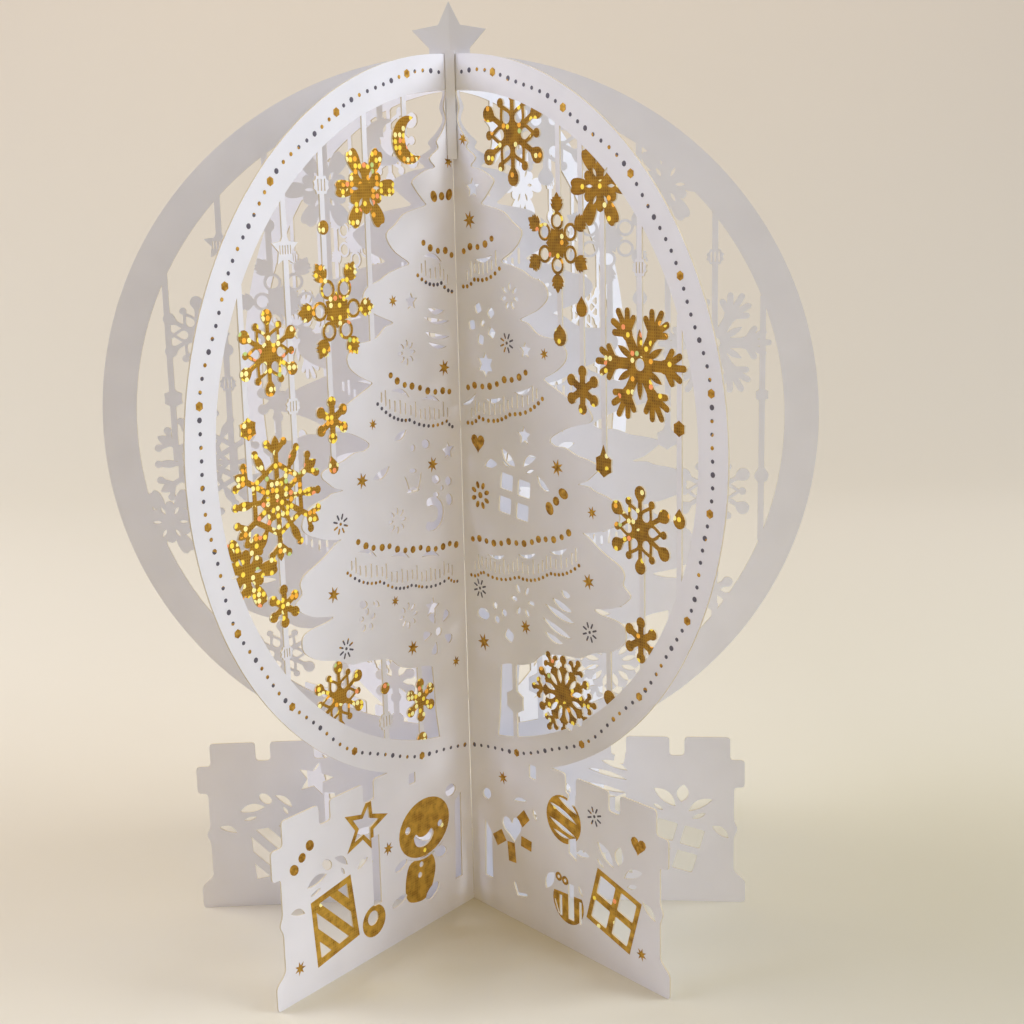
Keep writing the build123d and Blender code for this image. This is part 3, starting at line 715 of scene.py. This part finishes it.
def planar_faces(groups, wanted):
    """Flat triangles of the outlines in the groups, where the groups that cover them are wanted."""
    places, loops, owners = [], [], []
    for name, outlines in groups.items():
        for outline in outlines:
            loops.append(list(range(len(places), len(places) + len(outline))))
            places += [Vector(point) for point in wound(outline)]
            owners.append(name)
    points, _, faces, _, _, covers = delaunay_2d_cdt(places, [], loops, 1, 1e-5, True)
    kept = [face for face, ids in zip(faces, covers) if wanted({owners[i] for i in ids})]
    return points, kept


def is_card(names):
    in_ring = "ring" in names and "window" not in names
    return (in_ring or "card" in names) and "hole" not in names


def is_gold(names):
    in_ring = "ring" in names and "window" not in names
    return is_card(names) and "gold" in names and not in_ring


def is_dot(names):
    return is_card(names) and ("dot" in names or "speck" in names)


def leaf_groups(leaf, starred=False):
    ring, window = ring_outlines()
    groups = {"ring": [ring], "window": [window], "card": list(leaf.card), "hole": list(leaf.holes)}
    if starred:
        slot_low, slot_half = ring_top - tongue_length - tongue_gap, tongue_width / 2 + tongue_gap
        groups["card"].append(star_outline())
        groups["hole"].append(bar(-1, slot_low, slot_half, ring_top))
    return groups


def leaf_matrix(azimuth, spine_y):
    """Frame of a leaf: out from the spine, up, and across the card."""
    c, s = cos(radians(azimuth)), sin(radians(azimuth))
    scale = 0.001
    return Matrix(((c * scale, 0, s * scale, 0), (s * scale, 0, -c * scale, spine_y * scale),
                   (0, scale, 0, 0), (0, 0, 0, 1)))


def plate(points, faces, low, thickness, side):
    """Flat faces given a thickness, in leaf millimetres. Side faces take the second finish.

    The texture's places are in centimetres on the leaf, with negative ones across the left leaf.
    """
    bm = bmesh.new()
    verts = [bm.verts.new((point.x, point.y, low)) for point in points]
    for face in faces:
        bm.faces.new([verts[i] for i in face])
    bmesh.ops.delete(bm, geom=[v for v in bm.verts if not v.link_faces], context="VERTS")
    bmesh.ops.recalc_face_normals(bm, faces=bm.faces[:])
    for face in bm.faces:
        if face.normal.z > 0:
            face.normal_flip()
    bmesh.ops.solidify(bm, geom=bm.faces[:], thickness=thickness)
    bm.normal_update()
    uv = bm.loops.layers.uv.new("leaf")
    for face in bm.faces:
        face.material_index = 0 if abs(face.normal.z) > 0.5 else 1
        for loop in face.loops:
            loop[uv].uv = (side * loop.vert.co.x / 10, loop.vert.co.y / 10)
    return bm


def mitre(bm, half_opening, inner_side):
    """Leans the fold's edge to the mitre, and opens it there."""
    edge = [v for v in bm.verts if abs(v.co.x) < 1e-4]
    at_fold = set(edge)
    cut = [face for face in bm.faces if all(v in at_fold for v in face.verts)]
    bmesh.ops.delete(bm, geom=cut, context="FACES_ONLY")
    for v in edge:
        v.co.x = inner_side * v.co.z / tan(radians(half_opening))


def new_piece(name, bm, finishes):
    mesh = bpy.data.meshes.new(name)
    bm.to_mesh(mesh)
    bm.free()
    piece = bpy.data.objects.new(name, mesh)
    bpy.context.scene.collection.objects.link(piece)
    for finish in finishes:
        mesh.materials.append(finish)
    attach(piece, "root")
    return piece


def joined(parts):
    whole = bmesh.new()
    for part in parts:
        mesh = bpy.data.meshes.new("part")
        part.to_mesh(mesh)
        part.free()
        whole.from_mesh(mesh)
        bpy.data.meshes.remove(mesh)
    return whole


def folded_sheet(leaves, turns, spine_y, starred):
    """Two leaves welded along their mitred fold."""
    half_opening = (180 - sum(turns)) / 2
    parts = []
    for leaf, azimuth, side in ((leaves[0], 180 + turns[0], -1), (leaves[1], -turns[1], 1)):
        points, faces = planar_faces(leaf_groups(leaf, starred), is_card)
        bm = plate(points, faces, -card_thickness / 2, card_thickness, side)
        mitre(bm, half_opening, side)
        bm.transform(leaf_matrix(azimuth, spine_y))
        parts.append(bm)
    sheet = joined(parts)
    bmesh.ops.remove_doubles(sheet, verts=sheet.verts[:], dist=2e-6)
    bmesh.ops.recalc_face_normals(sheet, faces=sheet.faces[:])
    return sheet


def stamped(leaves, turns, spine_y, kind, wanted):
    """Thin foil on the faces of the front sheet that look into its fold."""
    parts = []
    for leaf, azimuth, side in ((leaves[0], 180 + turns[0], -1), (leaves[1], -turns[1], 1)):
        groups = leaf_groups(leaf)
        groups[kind] = {"gold": leaf.gold, "dot": leaf.dots, "speck": leaf.specks}[kind]
        points, faces = planar_faces(groups, wanted)
        start = side * (card_thickness / 2 + foil_lift)
        low = start if side > 0 else start - foil_thickness
        bm = plate(points, faces, low, foil_thickness, side)
        for face in bm.faces:
            face.material_index = 0
        bm.transform(leaf_matrix(azimuth, spine_y))
        parts.append(bm)
    foil = joined(parts)
    bmesh.ops.recalc_face_normals(foil, faces=foil.faces[:])
    return foil


# Finishes
def add(tree, kind, **settings):
    node = tree.nodes.new(kind)
    for name, value in settings.items():
        setattr(node, name, value)
    return node


def put(tree, value, socket):
    """Links an output to a socket, or sets the socket's own value."""
    if hasattr(value, "is_output"):
        tree.links.new(value, socket)
    else:
        socket.default_value = value


def math_node(tree, operation, *values):
    node = add(tree, "ShaderNodeMath", operation=operation)
    for value, socket in zip(values, node.inputs):
        put(tree, value, socket)
    return node.outputs[0]


def blend_colour(tree, factor, low, high):
    node = add(tree, "ShaderNodeMix", data_type="RGBA")
    put(tree, factor, node.inputs[0])
    put(tree, low, node.inputs[6])
    put(tree, high, node.inputs[7])
    return node.outputs[2]


def remap(tree, value, low, high, out_low=0.0, out_high=1.0, smooth_step=False):
    node = add(tree, "ShaderNodeMapRange", interpolation_type="SMOOTHSTEP" if smooth_step else "LINEAR")
    for source, socket in zip((value, low, high, out_low, out_high), node.inputs):
        put(tree, source, socket)
    return node.outputs[0]


def noise(tree, place, scale, detail=3.0):
    node = add(tree, "ShaderNodeTexNoise")
    put(tree, place, node.inputs["Vector"])
    put(tree, scale, node.inputs["Scale"])
    put(tree, detail, node.inputs["Detail"])
    return node.outputs["Fac"]


def paper_grain():
    """Node group: mottling and tooth of card, from a place in metres."""
    group = bpy.data.node_groups.new("paper_grain", "ShaderNodeTree")
    group.interface.new_socket("Place", in_out="INPUT", socket_type="NodeSocketVector")
    group.interface.new_socket("Mottle", in_out="OUTPUT", socket_type="NodeSocketFloat")
    group.interface.new_socket("Tooth", in_out="OUTPUT", socket_type="NodeSocketFloat")
    ins = group.nodes.new("NodeGroupInput")
    outs = group.nodes.new("NodeGroupOutput")
    put(group, noise(group, ins.outputs[0], 110.0, 1.0), outs.inputs[0])
    put(group, noise(group, ins.outputs[0], 1400.0, 1.0), outs.inputs[1])
    return group


def new_finish(name):
    finish = bpy.data.materials.new(name)
    finish.use_nodes = True
    tree = finish.node_tree
    tree.nodes.clear()
    shader = tree.nodes.new("ShaderNodeBsdfPrincipled")
    out = tree.nodes.new("ShaderNodeOutputMaterial")
    tree.links.new(shader.outputs[0], out.inputs[0])
    return finish, tree, shader


def grained_finish(name, grain, dark, light, roughness, tooth_depth):
    """Card: a faint mottle between two tints, with a fine tooth."""
    finish, tree, shader = new_finish(name)
    place = add(tree, "ShaderNodeTexCoord").outputs["Object"]
    node = add(tree, "ShaderNodeGroup", node_tree=grain)
    put(tree, place, node.inputs[0])
    mottle = remap(tree, node.outputs["Mottle"], 0.3, 0.7)
    put(tree, blend_colour(tree, mottle, dark, light), shader.inputs["Base Color"])
    rough = remap(tree, node.outputs["Mottle"], 0.3, 0.7, roughness - 0.05, roughness + 0.05)
    put(tree, rough, shader.inputs["Roughness"])
    bump = add(tree, "ShaderNodeBump")
    put(tree, 0.25, bump.inputs["Strength"])
    put(tree, tooth_depth, bump.inputs["Distance"])
    put(tree, node.outputs["Tooth"], bump.inputs["Height"])
    put(tree, bump.outputs[0], shader.inputs["Normal"])
    shader.inputs["Specular IOR Level"].default_value = 0.25
    return finish


def foil_finish(name):
    """Gold foil: a woven hatch with a painted sheen on its threads, a ground painted darker across the right
    leaf as painted shade, and above the base rows of round glitter cells given bright tints and a faint glow
    as painted glints, crowded on the left leaf.
    """
    finish, tree, shader = new_finish(name)
    place = add(tree, "ShaderNodeUVMap", uv_map="leaf").outputs[0]
    split = add(tree, "ShaderNodeSeparateXYZ")
    put(tree, place, split.inputs[0])
    across, up = split.outputs[0], split.outputs[1]
    hatch = 2 * pi / 0.06
    threads = [math_node(tree, "SINE", math_node(tree, "MULTIPLY", axis, hatch)) for axis in (across, up)]
    weave = remap(tree, math_node(tree, "MAXIMUM", *threads), -0.6, 1.0)
    # Glitter cells of the foil; their bright tints, faint glow and crowding on the left leaf are painted
    # glints
    cells = add(tree, "ShaderNodeTexVoronoi", voronoi_dimensions="2D")
    put(tree, place, cells.inputs["Vector"])
    cells.inputs["Scale"].default_value = 8.0
    cells.inputs["Randomness"].default_value = 0.28
    chance = add(tree, "ShaderNodeSeparateColor")
    put(tree, cells.outputs["Color"], chance.inputs[0])
    drift = remap(tree, noise(tree, place, 1.3, 2.0), 0.35, 0.62, 0.4, 1.6)
    in_ring = remap(tree, up, 4.2, 5.4)
    # Painted glints: more cells light up across the left leaf than across the right
    share = math_node(tree, "MULTIPLY", remap(tree, across, -0.4, 0.4, 0.46, 0.1), in_ring)
    share = math_node(tree, "MULTIPLY_ADD", share, drift, 0.02)
    chosen = math_node(tree, "LESS_THAN", chance.outputs[0], share)
    round_spot = remap(tree, cells.outputs["Distance"], 0.36, 0.47, 1.0, 0.0, True)
    glitter_glint = math_node(tree, "MULTIPLY", chosen, round_spot)
    ground_mix = remap(tree, noise(tree, place, 4.5, 3.0), 0.32, 0.62)
    # Painted shade: the foil ground is darker across the right leaf than across the left
    lit_left_ground = blend_colour(tree, ground_mix, (0.25, 0.11, 0.007, 1), (0.46, 0.23, 0.018, 1))
    shaded_right_ground = blend_colour(tree, ground_mix, (0.15, 0.06, 0.004, 1), (0.38, 0.19, 0.013, 1))
    in_hanging = blend_colour(tree, remap(tree, across, -0.4, 0.4), lit_left_ground, shaded_right_ground)
    in_wall = blend_colour(tree, ground_mix, (0.3, 0.14, 0.012, 1), (0.74, 0.45, 0.065, 1))
    ground = blend_colour(tree, in_ring, in_wall, in_hanging)
    # Painted sheen: a lighter gold on the hatch threads, stronger on the left leaf
    painted_sheen = math_node(tree, "MULTIPLY", weave, remap(tree, across, -0.4, 0.4, 0.45, 0.26))
    ground = blend_colour(tree, painted_sheen, ground, (0.72, 0.44, 0.06, 1))
    ramp = add(tree, "ShaderNodeValToRGB")
    ramp.color_ramp.interpolation = "CONSTANT"
    tints = ((0.0, (1.0, 0.75, 0.08, 1)), (0.42, (1.0, 0.92, 0.38, 1)), (0.72, (0.95, 0.45, 0.04, 1)),
             (0.9, (0.95, 0.33, 0.13, 1)), (0.96, (0.5, 0.62, 0.2, 1)))
    for k, (stop, tint) in enumerate(tints):
        element = ramp.color_ramp.elements[k] if k < 2 else ramp.color_ramp.elements.new(stop)
        element.position = stop
        element.color = tint
    put(tree, chance.outputs[1], ramp.inputs[0])
    put(tree, blend_colour(tree, glitter_glint, ground, ramp.outputs[0]), shader.inputs["Base Color"])
    put(tree, remap(tree, glitter_glint, 0.0, 1.0, 0.55, 0.1), shader.inputs["Metallic"])
    put(tree, remap(tree, weave, 0.0, 1.0, 0.45, 0.32), shader.inputs["Roughness"])
    # Painted glints: the lit cells glow a little through emission
    put(tree, blend_colour(tree, glitter_glint, (0, 0, 0, 1), ramp.outputs[0]), shader.inputs["Emission Color"])
    shader.inputs["Emission Strength"].default_value = 0.3
    bump = add(tree, "ShaderNodeBump")
    put(tree, 0.35, bump.inputs["Strength"])
    put(tree, 0.00004, bump.inputs["Distance"])
    put(tree, weave, bump.inputs["Height"])
    put(tree, bump.outputs[0], shader.inputs["Normal"])
    return finish


def dot_finish(name, painted_shade_left, painted_shade_right):
    """Small dots of foil, some gold and some dark grey, the dark ones painted shade on foil that catches no
    light, a few more of them towards the right leaf.
    """
    finish, tree, shader = new_finish(name)
    place = add(tree, "ShaderNodeUVMap", uv_map="leaf").outputs[0]
    split = add(tree, "ShaderNodeSeparateXYZ")
    put(tree, place, split.inputs[0])
    drift = noise(tree, place, 2.3, 1.0)
    limit = remap(tree, split.outputs[0], -0.4, 0.4, painted_shade_left, painted_shade_right)
    # Painted shade: dots where the noise falls below the limit turn dark grey
    dark = math_node(tree, "LESS_THAN", drift, limit)
    gold = blend_colour(tree, remap(tree, noise(tree, place, 9.0, 2.0), 0.3, 0.7),
                        (0.28, 0.12, 0.01, 1), (0.75, 0.45, 0.07, 1))
    put(tree, blend_colour(tree, dark, gold, (0.12, 0.11, 0.14, 1)), shader.inputs["Base Color"])
    put(tree, remap(tree, dark, 0.0, 1.0, 0.7, 0.3), shader.inputs["Metallic"])
    put(tree, remap(tree, drift, 0.3, 0.7, 0.3, 0.45), shader.inputs["Roughness"])
    return finish


def floor_finish(name, shaded_near, far, wall):
    finish, tree, shader = new_finish(name)
    place = add(tree, "ShaderNodeTexCoord").outputs["Object"]
    split = add(tree, "ShaderNodeSeparateXYZ")
    put(tree, place, split.inputs[0])
    # Painted shade: the floor is darker towards the front and towards the right, and noise makes the edge of
    # that shade uneven
    cloud = math_node(tree, "MULTIPLY_ADD", noise(tree, place, 3.0, 1.0), 0.1, split.outputs[1])
    slant = math_node(tree, "MULTIPLY_ADD", remap(tree, split.outputs[0], -0.12, 0.12), -0.36, cloud)
    ground = blend_colour(tree, remap(tree, slant, -0.43, 0.1), shaded_near, far)
    upright = remap(tree, split.outputs[2], 0.0, 0.4)
    put(tree, blend_colour(tree, upright, ground, wall), shader.inputs["Base Color"])
    shader.inputs["Roughness"].default_value = 0.7
    shader.inputs["Specular IOR Level"].default_value = 0.1
    return finish


grain = paper_grain()
white_card = grained_finish("white_card", grain, (0.88, 0.87, 0.9, 1), (0.915, 0.905, 0.935, 1), 0.62,
                            0.00003)
cut_edge = grained_finish("cut_edge", grain, (0.66, 0.57, 0.42, 1), (0.76, 0.68, 0.53, 1), 0.75, 0.00004)
gold_foil = foil_finish("gold_foil")
dot_foil = dot_finish("dot_foil", 0.0, 0.0)
# Specks: about half are painted shade, a few more of them on the right leaf
speck_foil = dot_finish("speck_foil", 0.53, 0.6)
# Floor colours: the darker near one is painted shade towards the front and right of the floor
floor_paint = floor_finish("floor_paint", (0.63, 0.605, 0.5, 1), (0.78, 0.735, 0.655, 1),
                           (0.91, 0.82, 0.71, 1))

# The card itself
left_half = half_pattern(left_hangings, left_tree, left_base)
right_half = half_pattern(right_hangings, right_tree, right_base)
halves = (left_half, right_half)
front_turns = (front_left_turn, front_right_turn)
middle_turns = (middle_left_turn, middle_right_turn)
rear_turns = (rear_right_turn, rear_left_turn)


def fold_depth(turns):
    return card_thickness / 2 / sin(radians((180 - sum(turns)) / 2))


front_spine = -fold_depth(middle_turns) - seat_clearance - fold_depth(front_turns)
rear_spine = -fold_depth(middle_turns) - seat_clearance - fold_depth(rear_turns)
front_sheet = new_piece("front_sheet_card", folded_sheet(halves, front_turns, front_spine, False),
                        (white_card, cut_edge))
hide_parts("front_sheet")
middle_sheet = new_piece("middle_sheet_card", folded_sheet(halves, middle_turns, 0, True),
                         (white_card, cut_edge))
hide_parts("middle_sheet")

# The rear sheet is a front sheet turned half round, so its left half stands on the right
turned_sheet = folded_sheet(halves, rear_turns, rear_spine, False)
turned_sheet.transform(Matrix.Rotation(pi, 4, "Z"))
rear_sheet = new_piece("rear_sheet_card", turned_sheet, (white_card, cut_edge))
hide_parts("rear_sheet")

for name, kind, wanted, finish in (("front_sheet_gold", "gold", is_gold, gold_foil),
                                   ("front_sheet_dots", "dot", is_dot, dot_foil),
                                   ("front_sheet_specks", "speck", is_dot, speck_foil)):
    new_piece(name, stamped(halves, front_turns, front_spine, kind, wanted), (finish,))


def tongue_strip():
    """Strip bent forward from the star's neck, and down in front of the front sheet's fold."""
    face = front_spine - fold_depth(front_turns)
    rear = face - tongue_width / 2 * tan(radians(max(front_turns))) - seat_clearance
    front = rear - card_thickness
    low, bend = ring_top - tongue_length, ring_top + 0.3
    bm = bmesh.new()
    root = card_thickness / 2 - 0.01
    top = bend + card_thickness
    outline = ((root, bend), (rear, bend), (rear, low), (front, low), (front, top), (root, top))
    verts = [bm.verts.new((-tongue_width / 2, y, z)) for y, z in outline]
    side = bm.faces.new(verts)
    grown = bmesh.ops.extrude_face_region(bm, geom=[side])
    moved = [item for item in grown["geom"] if isinstance(item, bmesh.types.BMVert)]
    bmesh.ops.translate(bm, verts=moved, vec=(tongue_width, 0, 0))
    bmesh.ops.recalc_face_normals(bm, faces=bm.faces[:])
    bm.transform(Matrix.Scale(0.001, 4))
    return bm


new_piece("star_tongue", tongue_strip(), (white_card,))

# Floor that sweeps up behind the card, no wider than the lights reach
floor_reach, floor_front, wall_top = 0.8, -0.75, 1.8
sweep_start, sweep_radius, sweep_step = 0.5, 0.5, 3
sweep = bmesh.new()
profile = [(floor_front, 0.0), (sweep_start, 0.0)]
for angle in range(sweep_step, 91, sweep_step):
    slope = radians(angle)
    profile.append((sweep_start + sweep_radius * sin(slope), sweep_radius * (1 - cos(slope))))
profile.append((sweep_start + sweep_radius, wall_top))
chain = [sweep.verts.new((-floor_reach, y, z)) for y, z in profile]
edges = [sweep.edges.new(pair) for pair in zip(chain, chain[1:])]
swept = bmesh.ops.extrude_edge_only(sweep, edges=edges)
far_side = [item for item in swept["geom"] if isinstance(item, bmesh.types.BMVert)]
bmesh.ops.translate(sweep, verts=far_side, vec=(2 * floor_reach, 0, 0))
bmesh.ops.recalc_face_normals(sweep, faces=sweep.faces[:])
floor_mesh = bpy.data.meshes.new("floor")
sweep.to_mesh(floor_mesh)
sweep.free()
floor_mesh.materials.append(floor_paint)
floor_mesh.shade_smooth()
floor = bpy.data.objects.new("floor", floor_mesh)
bpy.context.scene.collection.objects.link(floor)

# Camera at the photo's place, tilted down and rolled a little
camera_place, camera_lens = (0.01122, -0.33981, 0.16728), 53.23
pitch, roll = radians(12.02), radians(1.268)
camera_data = bpy.data.cameras.new("camera")
camera_data.sensor_width = 36.0
camera_data.lens = camera_lens
camera_data.clip_start = 0.01
camera = bpy.data.objects.new("camera", camera_data)
bpy.context.scene.collection.objects.link(camera)
right = Vector((1, 0, 0))
ahead = Vector((0, cos(pitch), -sin(pitch)))
down = Vector((0, -sin(pitch), -cos(pitch)))
image_right = right * cos(roll) + down * sin(roll)
image_up = right * sin(roll) - down * cos(roll)
turn = Matrix((image_right, image_up, -ahead)).transposed().to_4x4()
camera.matrix_world = Matrix.Translation(camera_place) @ turn
bpy.context.scene.camera = camera


def soft_light(name, azimuth, elevation, distance, size, power, colour):
    """Square soft box that looks at the middle of the card."""
    aim = Vector((0, -0.02, 0.1))
    level, rise = radians(azimuth), radians(elevation)
    away = Vector((cos(level) * cos(rise), sin(level) * cos(rise), sin(rise)))
    data = bpy.data.lights.new(name, "AREA")
    data.size = size
    data.energy = power
    data.color = colour
    lamp = bpy.data.objects.new(name, data)
    lamp.location = aim + away * distance
    lamp.rotation_euler = away.to_track_quat("Z", "Y").to_euler()
    bpy.context.scene.collection.objects.link(lamp)


soft_light("right_window", -5, 34, 1.1, 0.6, 8.5, (0.84, 0.9, 1.0))
soft_light("right_door", -40, 34, 1.1, 0.6, 2.4, (0.42, 0.6, 1.0))
soft_light("left_lamp", 162, 36, 1.1, 0.6, 4.7, (1.0, 0.97, 0.8))
soft_light("left_window", -178, 36, 1.1, 0.6, 6.4, (0.62, 0.68, 1.0))
soft_light("ceiling", -90, 85, 1.1, 0.8, 3.8, (1.0, 0.69, 0.06))
soft_light("front_fill", -75, 8, 1.1, 0.5, 1.6, (1.0, 0.75, 0.4))

# Pale sky where it is seen or mirrored, and a faint glow elsewhere
sky_colour, sky_seen, sky_glow = (1.0, 0.88, 0.7, 1), 0.7, 0.025
world = bpy.data.worlds.new("studio")
bpy.context.scene.world = world
world.use_nodes = True
sky = world.node_tree
sky.nodes.clear()
background = sky.nodes.new("ShaderNodeBackground")
background.inputs[0].default_value = sky_colour
path = sky.nodes.new("ShaderNodeLightPath").outputs
seen = math_node(sky, "ADD", path["Is Camera Ray"], path["Is Glossy Ray"])
seen = math_node(sky, "ADD", seen, path["Is Transmission Ray"])
seen = math_node(sky, "MINIMUM", seen, 1.0)
sky.links.new(math_node(sky, "MULTIPLY_ADD", seen, sky_seen, sky_glow), background.inputs[1])
sky_out = sky.nodes.new("ShaderNodeOutputWorld")
sky.links.new(background.outputs[0], sky_out.inputs[0])
bpy.context.scene.view_settings.view_transform = "Standard"
